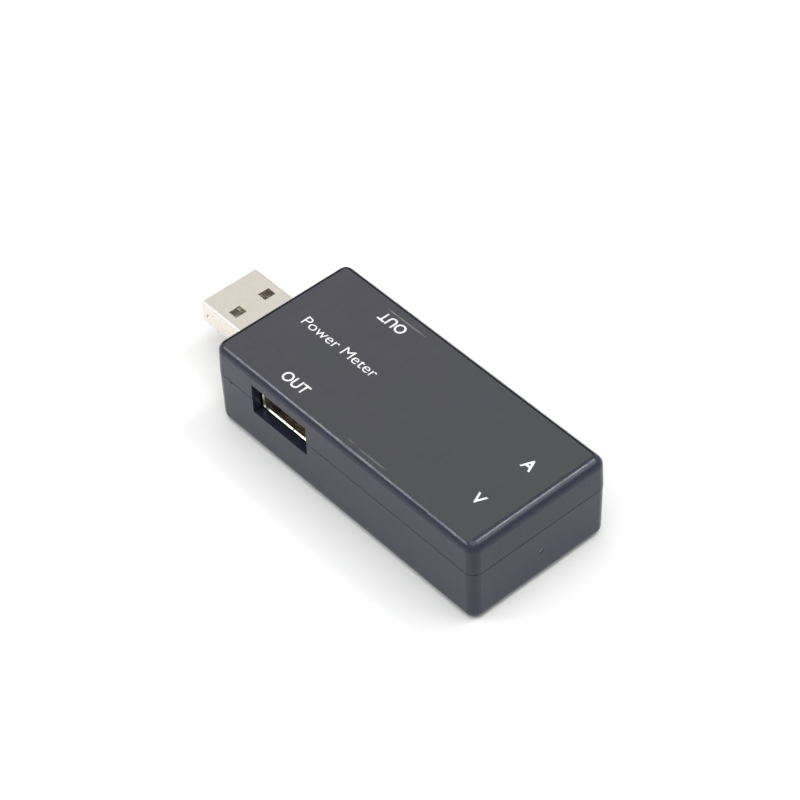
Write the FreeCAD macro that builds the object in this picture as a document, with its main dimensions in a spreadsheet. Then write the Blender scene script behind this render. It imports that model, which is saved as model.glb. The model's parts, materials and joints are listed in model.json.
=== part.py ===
import FreeCAD, Part
import math
import os
import re

import Sketcher

# A pocket-sized USB power meter: a plug at one end, two sockets back to back across
# the case, and two rows of three LED digits under a smoked front film.
#
# Part frame: +Z up, origin under the middle of the whole object on the surface that it
# rests on. +X runs along the case, away from the plug. The right side is -Y.
# Case frame: the same, but with x = 0 on the outer face at the plug's end of the case.

DIMENSIONS = {
    # Case, split into a base and a cover at the parting height.
    "case_length": 62.0,
    "case_width": 28.7,
    "case_height": 17.0,
    "parting_height": 10.8,
    "wall": 1.6,
    "cover_draft": 1.4,
    "base_draft": 0.7,
    "base_inset": 0.03,
    "case_corner": 1.9,
    "cover_round": 1.8,
    "base_round": 1.6,
    "inner_corner": 0.6,
    # Front film in its recess, and the window in the cover under it.
    "film_margin": 1.05,
    "film_front_margin": 1.93,
    "film_recess": 0.72,
    "film_thick": 0.22,
    "adhesive_thick": 0.1,
    "adhesive_border": 0.9,
    "film_gap": 0.05,
    "film_corner": 0.7,
    "window_start": 24.4,
    "window_end": 52.2,
    "window_width": 22.6,
    # Posts and pins that hold the circuit board between base and cover.
    "post_back": 4.0,
    "post_front": 56.6,
    "post_side": 10.2,
    "post_radius": 1.7,
    "pin_radius": 0.85,
    "pin_height": 9.0,
    "pin_clearance": 0.12,
    # Snap hooks on the cover, and their catches in the base.
    "hook_back": 29.0,
    "hook_front": 47.0,
    "hook_width": 5.0,
    "hook_thick": 0.75,
    "hook_drop": 2.3,
    "hook_barb": 0.4,
    "fit_gap": 0.1,
    # Small features of the base's outside.
    "shadow_line_depth": 0.35,
    "shadow_line_height": 0.18,
    "notch_x": 4.1,
    "notch_width": 0.5,
    "notch_depth": 0.45,
    "gate_radius": 0.5,
    "gate_depth": 0.12,
    "gate_height": 6.05,
    # Circuit board.
    "board_back": 1.9,
    "board_front": 59.4,
    "board_width": 24.3,
    "board_under": 6.15,
    "board_thick": 1.6,
    "board_corner": 0.8,
    # USB plug, type A.
    "plug_reach": 14.1,
    "plug_inside": 4.6,
    "plug_width": 12.0,
    "plug_height": 4.5,
    "plug_low": 6.25,
    "plug_corner": 0.6,
    "plug_chamfer": 0.15,
    "sheet_thick": 0.3,
    "latch_from_tip": 5.25,
    "latch_length": 1.9,
    "latch_width": 2.3,
    "latch_pitch": 6.25,
    "dimple_from_tip": 1.7,
    "dimple_radius": 0.45,
    "dimple_depth": 0.12,
    "seam_width": 0.12,
    "ear_width": 1.8,
    "ear_reach": 1.6,
    "ear_x": 2.4,
    "plug_tongue_top": 8.45,
    "plug_tongue_setback": 0.6,
    "plug_block_x": 0.6,
    "plug_clearance": 0.05,
    "plug_contact_thick": 0.3,
    "plug_contact_width": 1.0,
    "plug_contact_low": 8.2,
    "power_contact_from_tip": 1.1,
    "data_contact_from_tip": 2.1,
    "contact_foot": 1.9,
    # The four contacts of a plug or socket sit at plus and minus these two distances.
    "inner_contact": 1.0,
    "outer_contact": 3.5,
    # USB sockets, type A, one on each side of the case.
    "socket_x": 16.2,
    "socket_mouth": 12.43,
    "socket_gap": 0.1,
    "socket_width": 13.1,
    "socket_height": 5.7,
    "socket_depth": 11.0,
    "socket_corner": 0.6,
    "mouth_chamfer": 0.22,
    "opening_width": 13.4,
    "opening_low": 7.85,
    "opening_high": 13.95,
    "tongue_width": 11.1,
    "tongue_low": 2.915,
    "tongue_high": 4.755,
    "tongue_setback": 1.4,
    "socket_block": 1.2,
    "groove_width": 1.2,
    "groove_depth": 1.05,
    "leg_y": 3.0,
    "leg_width": 1.6,
    "leg_drop": 2.6,
    "contact_thick": 0.25,
    "contact_width": 1.0,
    "contact_root": 9.2,
    "contact_root_z": 3.45,
    "contact_peak": 3.7,
    "contact_peak_z": 2.6,
    "contact_tip": 2.3,
    "contact_tip_z": 3.15,
    "tail_width": 0.8,
    "tail_y": 11.4,
    "leaf_pitch": 6.2,
    "leaf_width": 2.2,
    "leaf_start": 1.55,
    "leaf_bend": 2.2,
    "leaf_dip_y": 5.6,
    "leaf_dip": 0.45,
    "leaf_end": 7.2,
    "leaf_end_dip": 0.3,
    "leaf_side_gap": 0.25,
    "leaf_end_gap": 0.4,
    "leaf_root_gap": 0.05,
    # LED display modules, three digits each.
    "display_x": 37.5,
    "display_side": 5.3,
    "display_length": 22.6,
    "display_width": 10.2,
    "display_height": 7.0,
    "digit_pitch": 7.4,
    "digit_height": 6.6,
    "digit_width": 3.4,
    "digit_slant": 8.0,
    "point_offset": 2.7,
    "segment_thick": 0.8,
    "segment_depth": 1.2,
    "segment_gap": 0.15,
    "display_pin": 0.5,
    "display_pin_drop": 2.7,
    "display_pin_pitch": 2.54,
    "display_row_pitch": 7.62,
    # Solder fillets and drilled holes.
    "hole_radius": 0.55,
    "solder_radius": 0.68,
    "solder_top_radius": 0.36,
    "solder_height": 0.6,
    # Chips on the underside of the board.
    "chip_x": 52.0,
    "chip_length": 6.5,
    "chip_width": 4.4,
    "chip_height": 1.0,
    "chip_standoff": 0.12,
    "chip_lead_pitch": 0.65,
    "chip_lead_width": 0.25,
    "chip_lead_reach": 1.0,
    "chip_lead_thick": 0.15,
    "regulator_x": 27.0,
    "regulator_y": 6.0,
    "regulator_length": 4.5,
    "regulator_width": 2.5,
    "regulator_height": 1.4,
    "regulator_lead_pitch": 1.5,
    "regulator_lead_reach": 1.0,
    "shunt_y": 4.8,
    "shunt_length": 6.3,
    "shunt_width": 3.2,
    "shunt_height": 0.6,
    "tank_x": 26.5,
    "tank_y": -6.0,
    "tank_length": 3.5,
    "tank_width": 2.8,
    "tank_height": 1.9,
    "passive_length": 1.6,
    "passive_width": 0.8,
    "resistor_height": 0.45,
    "capacitor_height": 0.8,
    "end_cap": 0.3,
}

CONTACT_SIDES = (-1, 1)
CHIP_LEADS_PER_SIDE = 10
DISPLAY_DIGITS = 3
DISPLAY_PINS_PER_ROW = 6
# Case-frame places of the small passives under the board: (x, first y, count), PASSIVE_PITCH apart.
PASSIVE_PITCH = 2.0
RESISTOR_ROWS = [(47.2, -7.0, 8)]
CAPACITOR_ROWS = [(24.2, -2.0, 3), (27.8, -1.0, 2), (56.6, -3.0, 4)]
# A solid may change by less than this, in mm3, only if a feature missed it.
LEAST_CHANGE = 1e-4
# Two places closer than this, in mm, are the same place.
NEAR = 0.01
# The least cosine between an edge and an axis that it runs along.
ALONG = 0.99
# Corners of a digit's seven segments, as fractions of its width and height from its centre.
SEGMENT_ENDS = {
    "top": ((-0.5, 0.5), (0.5, 0.5)),
    "middle": ((-0.5, 0.0), (0.5, 0.0)),
    "bottom": ((-0.5, -0.5), (0.5, -0.5)),
    "upper_left": ((-0.5, 0.0), (-0.5, 0.5)),
    "upper_right": ((0.5, 0.0), (0.5, 0.5)),
    "lower_left": ((-0.5, -0.5), (-0.5, 0.0)),
    "lower_right": ((0.5, -0.5), (0.5, 0.0)),
}

CASE_BACK = "(plug_reach - case_length) / 2"
BOARD_TOP = "board_under + board_thick"

doc = FreeCAD.newDocument("usb_power_meter")
sheet = doc.addObject("Spreadsheet::Sheet", "dims")
for row, (alias, value) in enumerate(DIMENSIONS.items(), start=1):
    sheet.set(f"A{row}", alias)
    sheet.set(f"B{row}", str(value))
    sheet.setAlias(f"B{row}", alias)
doc.recompute()

subparts = []


# ---------------------------------------------------------------- sheet and placement


def bound(text):
    """Write an expression of sheet words so that any object of the document can use it."""

    def prefix(word):
        return "dims." + word.group(0) if word.group(0) in DIMENSIONS else word.group(0)

    return re.sub(r"[a-z_]+", prefix, text)


def size(text):
    """Work out an expression of sheet words in mm or degrees."""
    return float(sheet.evalExpression(text))


def place(item, x="0", y="0", z="0", half_turn=False):
    """Put a sub-part's own frame at a point of the case frame, turned about +Z or not."""
    if half_turn:
        turn = FreeCAD.Rotation(FreeCAD.Vector(0, 0, 1), 180)
        item.Placement = FreeCAD.Placement(FreeCAD.Vector(), turn)
    item.setExpression(".Placement.Base.x", bound(f"{CASE_BACK} + {x}"))
    item.setExpression(".Placement.Base.y", bound(y))
    item.setExpression(".Placement.Base.z", bound(z))


def keep(item, label):
    """Name a finished sub-part."""
    item.Label = label
    subparts.append(item)
    return item


# ---------------------------------------------------------------- sketches and features


def new_body(label):
    body = doc.addObject("PartDesign::Body", label + "_body")
    return keep(body, label)


def new_sketch(body, name, plane_role, offset="0"):
    """Attach a sketch to one of the body's origin planes, moved along that plane's normal."""
    sketch = body.newObject("Sketcher::SketchObject", name)
    plane = next(item for item in body.Origin.OriginFeatures if item.Role == plane_role)
    sketch.AttachmentSupport = [(plane, "")]
    sketch.MapMode = "FlatFace"
    sketch.setExpression(".AttachmentOffset.Base.z", bound(offset))
    return sketch


def drive(sketch, constraint, text):
    """Add a dimension to a sketch and bind it to the sheet."""
    index = sketch.addConstraint(constraint)
    sketch.setExpression(f"Constraints[{index}]", bound(text))


def closed_lines(sketch, corners):
    """Add straight edges from corner to corner and back, and return the first edge's index."""
    first = sketch.GeometryCount
    count = len(corners)
    for index, corner in enumerate(corners):
        sketch.addGeometry(Part.LineSegment(corner, corners[(index + 1) % count]))
    for index in range(count):
        following = first + (index + 1) % count
        sketch.addConstraint(Sketcher.Constraint("Coincident", first + index, 2, following, 1))
    return first


def rectangle(sketch, left, low, width, height):
    """Draw a rectangle from sheet expressions for its lower left corner and its sides."""
    x, y, dx, dy = (size(text) for text in (left, low, width, height))
    corners = [(x, y), (x + dx, y), (x + dx, y + dy), (x, y + dy)]
    first = closed_lines(sketch, [FreeCAD.Vector(u, v, 0) for u, v in corners])
    for edge, direction in enumerate(("Horizontal", "Vertical", "Horizontal", "Vertical")):
        sketch.addConstraint(Sketcher.Constraint(direction, first + edge))
    drive(sketch, Sketcher.Constraint("DistanceX", -1, 1, first, 1, x), left)
    drive(sketch, Sketcher.Constraint("DistanceY", -1, 1, first, 1, y), low)
    drive(sketch, Sketcher.Constraint("DistanceX", first, 1, first, 2, dx), width)
    drive(sketch, Sketcher.Constraint("DistanceY", first + 1, 1, first + 1, 2, dy), height)


def rounded_rectangle(sketch, left, low, width, height, radius):
    """Draw a rectangle whose corners are arcs tangent to its sides."""
    x, y, dx, dy, r = (size(text) for text in (left, low, width, height, radius))
    right, top = x + dx, y + dy
    sides = [
        ((x + r, y), (right - r, y)),
        ((right, y + r), (right, top - r)),
        ((right - r, top), (x + r, top)),
        ((x, top - r), (x, y + r)),
    ]
    centres = [(right - r, y + r), (right - r, top - r), (x + r, top - r), (x + r, y + r)]
    first = sketch.GeometryCount
    quarter = math.pi / 2
    for index, ((start, end), centre) in enumerate(zip(sides, centres)):
        sketch.addGeometry(Part.LineSegment(FreeCAD.Vector(*start, 0), FreeCAD.Vector(*end, 0)))
        whole = Part.Circle(FreeCAD.Vector(*centre, 0), FreeCAD.Vector(0, 0, 1), r)
        sketch.addGeometry(Part.ArcOfCircle(whole, (index - 1) * quarter, index * quarter))
    bottom_side, right_side, top_side, left_side = range(first, first + 8, 2)
    for line in (bottom_side, right_side, top_side, left_side):
        following = first + (line - first + 2) % 8
        sketch.addConstraint(Sketcher.Constraint("Tangent", line, 2, line + 1, 1))
        sketch.addConstraint(Sketcher.Constraint("Tangent", line + 1, 2, following, 1))
        drive(sketch, Sketcher.Constraint("Radius", line + 1, r), radius)
    sketch.addConstraint(Sketcher.Constraint("Horizontal", bottom_side))
    drive(sketch, Sketcher.Constraint("DistanceX", -1, 1, left_side, 1, x), left)
    drive(sketch, Sketcher.Constraint("DistanceY", -1, 1, bottom_side, 1, y), low)
    drive(sketch, Sketcher.Constraint("DistanceX", left_side, 1, right_side, 1, dx), width)
    drive(sketch, Sketcher.Constraint("DistanceY", bottom_side, 1, top_side, 1, dy), height)


def centred_rectangle(sketch, centre, width, height):
    """Draw a rectangle centred on a point given by two sheet expressions."""
    across, up = centre
    rectangle(sketch, f"{across} - ({width}) / 2", f"{up} - ({height}) / 2", width, height)


def polygon(sketch, points):
    """Draw a closed outline whose every corner is bound to the sheet."""
    corners = [FreeCAD.Vector(size(u), size(v), 0) for u, v in points]
    first = closed_lines(sketch, corners)
    for index, (u, v) in enumerate(points):
        drive(sketch, Sketcher.Constraint("DistanceX", -1, 1, first + index, 1, corners[index].x), u)
        drive(sketch, Sketcher.Constraint("DistanceY", -1, 1, first + index, 1, corners[index].y), v)


def circle(sketch, x, y, radius):
    centre = FreeCAD.Vector(size(x), size(y), 0)
    index = sketch.addGeometry(Part.Circle(centre, FreeCAD.Vector(0, 0, 1), size(radius)))
    drive(sketch, Sketcher.Constraint("DistanceX", -1, 1, index, 3, centre.x), x)
    drive(sketch, Sketcher.Constraint("DistanceY", -1, 1, index, 3, centre.y), y)
    drive(sketch, Sketcher.Constraint("Radius", index, size(radius)), radius)


def extrude(body, kind, sketch, length, reverse, both_ways, draft):
    """Pad or pocket a sketch, and stop if the solid didn't grow or shrink as it should."""
    before = body.Shape.Volume if body.Tip else 0.0
    feature = body.newObject("PartDesign::" + kind, sketch.Name + "_" + kind.lower())
    feature.Profile = sketch
    feature.Reversed = reverse
    if both_ways:
        feature.SideType = "Symmetric"
    feature.setExpression("Length", bound(length))
    if draft:
        feature.setExpression("TaperAngle", bound(draft))
    body.Tip = feature
    doc.recompute()
    grown = body.Shape.Volume - before
    if (kind == "Pad") != (grown > 0) or abs(grown) < LEAST_CHANGE:
        raise RuntimeError(f"{feature.Name} changed the volume by {grown:.4f} mm3")
    return feature


def pad(body, sketch, length, reverse=False, both_ways=False, draft=None):
    return extrude(body, "Pad", sketch, length, reverse, both_ways, draft)


def pocket(body, sketch, length, reverse=False, both_ways=False):
    return extrude(body, "Pocket", sketch, length, reverse, both_ways, None)


def edges_where(shape, test):
    """Name the edges whose centre of gravity and direction pass a test."""
    names = []
    for number, edge in enumerate(shape.Edges, start=1):
        ends = [vertex.Point for vertex in edge.Vertexes]
        if len(ends) == 2 and test(edge.CenterOfMass, (ends[1] - ends[0]).normalize()):
            names.append(f"Edge{number}")
    return names


def soften(body, kind, name, test, text):
    """Round or chamfer the edges of the tip that pass a test."""
    base = body.Tip
    feature = body.newObject("PartDesign::" + kind, name)
    feature.Base = (base, edges_where(base.Shape, test))
    feature.setExpression("Radius" if kind == "Fillet" else "Size", bound(text))
    body.Tip = feature
    doc.recompute()
    return feature


def along_x(centre, direction):
    return abs(direction.x) > ALONG


def along_y(centre, direction):
    return abs(direction.y) > ALONG


def along_z(centre, direction):
    return abs(direction.z) > ALONG


# ---------------------------------------------------------------- loose shapes


def block(left, right, front, back, low, high):
    """Make a box from its limits along X, Y and Z."""
    return Part.makeBox(right - left, back - front, high - low, FreeCAD.Vector(left, front, low))


def strip(points, width, middle=0.0):
    """Make a strip along X, centred on middle, from its outline as (y, z) points."""
    start = middle - width / 2
    corners = [FreeCAD.Vector(start, y, z) for y, z in points]
    outline = Part.makePolygon(corners + corners[:1])
    return Part.Face(outline).extrude(FreeCAD.Vector(width, 0, 0))


def sheet_strip(line, thick, width, middle=0.0):
    """Make a thin bent strip from its centre line as (y, z) points."""
    upper = [(y, z + thick / 2) for y, z in line]
    lower = [(y, z - thick / 2) for y, z in reversed(line)]
    return strip(upper + lower, width, middle)


def group(label, solids):
    """Make one sub-part of several separate solids."""
    item = doc.addObject("Part::Feature", label + "_group")
    item.Shape = Part.makeCompound(solids)
    return keep(item, label)


def contact_places():
    """List the places of the four contacts across a plug or socket."""
    distances = (size("inner_contact"), size("outer_contact"))
    return sorted(side * distance for side in CONTACT_SIDES for distance in distances)


# ---------------------------------------------------------------- case


def case_block(body, name, length, reverse, draft, inset, rounding, is_end_edge):
    """Pad a drafted block away from the parting plane and round its outer edges."""
    outline = new_sketch(body, name + "_outline", "XY_Plane", "parting_height")
    rectangle(
        outline,
        inset,
        f"-case_width / 2 + {inset}",
        f"case_length - 2 * {inset}",
        f"case_width - 2 * {inset}",
    )
    pad(body, outline, length, reverse=reverse, draft=draft)
    soften(body, "Fillet", name + "_corners", along_z, "case_corner")
    soften(body, "Fillet", name + "_rim", is_end_edge, rounding)


def hollow(body, name, depth, reverse):
    """Empty a case half from the parting plane, leaving its walls."""
    outline = new_sketch(body, name + "_hollow", "XY_Plane", "parting_height")
    length = "case_length - 2 * wall"
    width = "case_width - 2 * wall"
    rectangle(outline, "wall", "wall - case_width / 2", length, width)
    pocket(body, outline, depth, reverse=reverse)
    limit_x = size("case_length - wall") + NEAR
    limit_y = size("case_width / 2 - wall") + NEAR

    def is_inner_corner(centre, direction):
        inside = size("wall") - NEAR < centre.x < limit_x and abs(centre.y) < limit_y
        return along_z(centre, direction) and inside

    soften(body, "Fillet", name + "_inner_corners", is_inner_corner, "inner_corner")


def post_places():
    """List the board's four posts as pairs of sheet expressions."""
    return [(x, y) for x in ("post_back", "post_front") for y in ("-post_side", "post_side")]


def add_posts(body, name, top, bottom, radius):
    """Pad the four board posts from one height down to another."""
    circles = new_sketch(body, name, "XY_Plane", top)
    for x, y in post_places():
        circle(circles, x, y, radius)
    pad(body, circles, f"{top} - ({bottom})", reverse=True)


def cut_openings(body):
    """Cut the plug's opening through the end wall and the sockets' through the side walls."""
    plug_hole = new_sketch(body, body.Label + "_plug_opening", "YZ_Plane", "wall + fit_gap")
    centred_rectangle(
        plug_hole,
        ("0", "plug_low + plug_height / 2"),
        "plug_width + 2 * fit_gap",
        "plug_height + 2 * fit_gap",
    )
    pocket(body, plug_hole, "wall + 3 * fit_gap")
    socket_hole = new_sketch(body, body.Label + "_socket_opening", "XZ_Plane")
    height = "opening_high - opening_low"
    rectangle(socket_hole, "socket_x - opening_width / 2", "opening_low", "opening_width", height)
    pocket(body, socket_hole, "2 * case_width", both_ways=True)


def make_top_cover():
    body = new_body("top_cover")
    top = size("case_height")
    case_block(
        body,
        "cover",
        "case_height - parting_height",
        False,
        "-cover_draft",
        "0",
        "cover_round",
        lambda centre, direction: centre.z > top - NEAR,
    )
    hollow(body, "cover", "case_height - wall - parting_height", True)
    recess = new_sketch(body, "film_recess_outline", "XY_Plane", "case_height")
    rounded_rectangle(
        recess,
        "film_margin - film_gap",
        "film_margin - film_gap - case_width / 2",
        "case_length - film_margin - film_front_margin + 2 * film_gap",
        "case_width - 2 * film_margin + 2 * film_gap",
        "film_corner + film_gap",
    )
    pocket(body, recess, "film_recess")
    window = new_sketch(body, "window_outline", "XY_Plane", "case_height")
    rectangle(window, "window_start", "-window_width / 2", "window_end - window_start", "window_width")
    pocket(body, window, "2 * wall")
    add_posts(body, "cover_posts", "case_height - wall + fit_gap", BOARD_TOP, "post_radius")
    bores = new_sketch(body, "cover_post_bores", "XY_Plane", BOARD_TOP)
    for x, y in post_places():
        circle(bores, x, y, "pin_radius + pin_clearance")
    pocket(body, bores, f"pin_height + 2 * pin_clearance - ({BOARD_TOP})", reverse=True)
    for station in ("hook_back", "hook_front"):
        for side in ("-", ""):
            add_hook(body, station, side)
    clamp = new_sketch(body, "plug_clamp_rib", "XY_Plane", "case_height - wall + fit_gap")
    rectangle(clamp, "wall", "ear_reach - plug_width / 2", "wall", "plug_width - 2 * ear_reach")
    pad(body, clamp, "case_height - wall - plug_low - plug_height", reverse=True)
    cut_openings(body)
    place(body)


def add_hook(body, station, side):
    """Add a snap hook inside a long wall: a rib above the parting plane and a barbed tongue below."""
    inner = f"{side}(case_width / 2 - wall - fit_gap)"
    root = f"{side}(case_width / 2 - wall + fit_gap)"
    face = f"{side}(case_width / 2 - wall - fit_gap - hook_thick)"
    barb = f"{side}(case_width / 2 - wall - fit_gap + hook_barb)"
    tip = "parting_height - hook_drop"
    name = f"{station}_{'right' if side else 'left'}"
    profile = new_sketch(body, name, "YZ_Plane", station)
    polygon(
        profile,
        [
            (face, tip),
            (inner, tip),
            (barb, f"{tip} + hook_barb"),
            (barb, f"{tip} + 2 * hook_barb"),
            (inner, f"{tip} + 2 * hook_barb"),
            (inner, "parting_height"),
            (root, "parting_height"),
            (root, "parting_height + 2 * hook_drop - fit_gap"),
            (face, "parting_height + 2 * hook_drop - fit_gap"),
        ],
    )
    pad(body, profile, "hook_width", both_ways=True)


def cut_shadow_line(body):
    """Lower the outermost ring of the base's rim, which leaves a fine line between base and cover."""
    line = new_sketch(body, "shadow_line", "XY_Plane", "parting_height")
    rectangle(line, "-wall", "-case_width", "case_length + 2 * wall", "2 * case_width")
    inset = "base_inset + shadow_line_depth"
    rounded_rectangle(
        line,
        inset,
        f"{inset} - case_width / 2",
        f"case_length - 2 * ({inset})",
        f"case_width - 2 * ({inset})",
        f"case_corner - ({inset})",
    )
    pocket(body, line, "shadow_line_height")


def make_bottom_case():
    body = new_body("bottom_case")
    case_block(
        body,
        "base",
        "parting_height",
        True,
        "-base_draft",
        "base_inset",
        "base_round",
        lambda centre, direction: centre.z < NEAR,
    )
    hollow(body, "base", "parting_height - wall", False)
    add_posts(body, "base_posts", "board_under", "wall - fit_gap", "post_radius")
    add_posts(body, "base_pins", "pin_height", "board_under - fit_gap", "pin_radius")
    saddle = new_sketch(body, "plug_saddle", "XY_Plane", "wall - fit_gap")
    width = "plug_width - 2 * ear_reach"
    rectangle(saddle, "wall + fit_gap", "ear_reach - plug_width / 2", "wall", width)
    pad(body, saddle, "plug_low - wall + fit_gap")
    cut_openings(body)
    catches = new_sketch(body, "hook_catches", "XY_Plane", "parting_height - hook_drop + 3 * hook_barb")
    for station in ("hook_back", "hook_front"):
        rectangle(
            catches,
            f"{station} - hook_width / 2 - fit_gap",
            "-(case_width / 2 - wall + hook_barb)",
            "hook_width + 2 * fit_gap",
            "case_width - 2 * wall + 2 * hook_barb",
        )
    pocket(body, catches, "3 * hook_barb - fit_gap")
    cut_shadow_line(body)
    notch = new_sketch(body, "pry_notch", "XY_Plane", "parting_height")
    centred_rectangle(notch, ("notch_x", "-case_width / 2"), "notch_width", "2 * notch_width")
    pocket(body, notch, "notch_depth")
    face_at_gate = "case_length - base_inset - (parting_height - gate_height) * tan(base_draft)"
    gate = new_sketch(body, "gate_mark", "YZ_Plane", face_at_gate)
    circle(gate, "0", "gate_height", "gate_radius")
    pocket(body, gate, "gate_depth")
    place(body)


def film_outline(body, name, level, inset):
    """Draw the film's outline, drawn in by an inset, at a level."""
    outline = new_sketch(body, name, "XY_Plane", level)
    rounded_rectangle(
        outline,
        f"film_margin + {inset}",
        f"film_margin + {inset} - case_width / 2",
        f"case_length - film_margin - film_front_margin - 2 * {inset}",
        f"case_width - 2 * film_margin - 2 * {inset}",
        f"film_corner - {inset}",
    )
    return outline


def make_front_film():
    body = new_body("front_film")
    level = "case_height - film_recess + adhesive_thick"
    pad(body, film_outline(body, "film_shape", level, "0"), "film_thick")
    place(body)


def make_film_adhesive():
    body = new_body("film_adhesive")
    level = "case_height - film_recess"
    pad(body, film_outline(body, "adhesive_shape", level, "film_gap"), "adhesive_thick")
    opening = new_sketch(body, "adhesive_opening", "XY_Plane", level)
    rectangle(
        opening,
        "window_start - adhesive_border / 2",
        "-(window_width + adhesive_border) / 2",
        "window_end - window_start + adhesive_border",
        "window_width + adhesive_border",
    )
    pocket(body, opening, "adhesive_thick", reverse=True)
    place(body)


# ---------------------------------------------------------------- circuit board


def display_pin_places():
    """List the display pins' places in a module's own frame."""
    pitch = size("display_pin_pitch")
    middle = (DISPLAY_PINS_PER_ROW - 1) / 2
    row = size("display_row_pitch / 2")
    steps = range(DISPLAY_PINS_PER_ROW)
    return [((step - middle) * pitch, side * row) for side in CONTACT_SIDES for step in steps]


def drilled_places():
    """List the drilled holes for display pins and socket tails in the case frame."""
    displays = [size("-display_side"), size("display_side")]
    pins = [(size("display_x") + x, centre + y) for centre in displays for x, y in display_pin_places()]
    tail = size("socket_mouth - tail_y - contact_thick / 2")
    tails = [(size("socket_x") + x, side * tail) for side in CONTACT_SIDES for x in contact_places()]
    return pins + tails


def leg_places():
    """List the middles of the socket shells' legs in the case frame."""
    across = size("socket_width / 2 - sheet_thick / 2")
    inward = size("socket_mouth - leg_y - leg_width / 2")
    middle = size("socket_x")
    return [(middle + side * across, end * inward) for side in CONTACT_SIDES for end in CONTACT_SIDES]


def make_circuit_board():
    body = new_body("circuit_board")
    outline = new_sketch(body, "board_outline", "XY_Plane", "board_under")
    length = "board_front - board_back"
    rounded_rectangle(outline, "board_back", "-board_width / 2", length, "board_width", "board_corner")
    pad(body, outline, "board_thick")
    cutout = new_sketch(body, "plug_cutout", "XY_Plane", BOARD_TOP)
    rectangle(
        cutout,
        "board_back - wall",
        "-plug_width / 2 - 2 * fit_gap",
        "plug_inside + 4 * fit_gap - board_back + wall",
        "plug_width + 4 * fit_gap",
    )
    pocket(body, cutout, "board_thick")
    holes = new_sketch(body, "pin_holes", "XY_Plane", BOARD_TOP)
    for x, y in post_places():
        circle(holes, x, y, "pin_radius + pin_clearance")
    for x, y in drilled_places():
        circle(holes, str(round(x, 4)), str(round(y, 4)), "hole_radius")
    for x, y in leg_places():
        centred_rectangle(
            holes,
            (str(round(x, 4)), str(round(y, 4))),
            "sheet_thick + 2 * fit_gap",
            "leg_width + 2 * fit_gap",
        )
    pocket(body, holes, "board_thick")
    place(body)


# ---------------------------------------------------------------- plug


def make_plug_shell():
    body = new_body("plug_shell")
    outside = new_sketch(body, "plug_outside", "YZ_Plane", "-plug_reach")
    middle = "plug_low + plug_height / 2"
    centred_rectangle(outside, ("0", middle), "plug_width", "plug_height")
    pad(body, outside, "plug_reach + plug_inside")
    soften(body, "Fillet", "plug_corners", along_x, "plug_corner")
    tip = size("-plug_reach")
    soften(body, "Chamfer", "plug_tip", lambda centre, direction: centre.x < tip + NEAR, "plug_chamfer")
    inside = new_sketch(body, "plug_inside_outline", "YZ_Plane", "plug_inside")
    inner_width = "plug_width - 2 * sheet_thick"
    centred_rectangle(inside, ("0", middle), inner_width, "plug_height - 2 * sheet_thick")
    pocket(body, inside, "plug_reach + plug_inside")
    latches = new_sketch(body, "latch_holes", "XY_Plane", middle)
    for side in ("-", ""):
        across = f"{side}latch_pitch / 2"
        along = "latch_from_tip + latch_length / 2 - plug_reach"
        centred_rectangle(latches, (along, across), "latch_length", "latch_width")
    pocket(body, latches, "2 * plug_height", both_ways=True)
    seam = new_sketch(body, "plug_seam", "XY_Plane", "plug_low + sheet_thick")
    centred_rectangle(seam, ("0", "0"), "4 * plug_reach", "seam_width")
    pocket(body, seam, "2 * sheet_thick")
    for side in ("-", ""):
        name = "dimple_left" if side else "dimple_right"
        dimple = new_sketch(body, name, "XZ_Plane", f"{side}plug_width / 2")
        circle(dimple, "dimple_from_tip - plug_reach", f"{middle} - gate_depth", "dimple_radius")
        pocket(body, dimple, "dimple_depth", reverse=bool(side))
    ears = new_sketch(body, "plug_ears", "XY_Plane", BOARD_TOP)
    for edge in ("-plug_width / 2 - ear_reach", "plug_width / 2 - sheet_thick / 2"):
        rectangle(ears, "ear_x", edge, "ear_width", "ear_reach + sheet_thick / 2")
    pad(body, ears, "sheet_thick")
    place(body)


def make_plug_insulator():
    body = new_body("plug_insulator")
    inner_width = "plug_width - 2 * sheet_thick - 2 * plug_clearance"
    floor = "plug_low + sheet_thick + plug_clearance"
    tongue = new_sketch(body, "plug_tongue", "XY_Plane", floor)
    length = "plug_reach - plug_tongue_setback + plug_inside"
    edge = f"-({inner_width}) / 2"
    rectangle(tongue, "plug_tongue_setback - plug_reach", edge, length, inner_width)
    pad(body, tongue, f"plug_tongue_top - ({floor})")
    block_outline = new_sketch(body, "plug_block", "XY_Plane", "plug_tongue_top")
    rectangle(block_outline, "plug_block_x", edge, "plug_inside - plug_block_x", inner_width)
    ceiling = "plug_low + plug_height - sheet_thick - plug_clearance"
    pad(body, block_outline, f"{ceiling} - plug_tongue_top")
    grooves = new_sketch(body, "plug_grooves", "YZ_Plane", "plug_inside")
    for across in ("inner_contact", "outer_contact"):
        for side in ("-", ""):
            rectangle(
                grooves,
                f"{side}{across} - plug_contact_width / 2 - plug_clearance",
                "plug_contact_low",
                "plug_contact_width + 2 * plug_clearance",
                "plug_contact_thick + plug_clearance",
            )
    pocket(body, grooves, "plug_inside + plug_reach - power_contact_from_tip")
    place(body)


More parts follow.
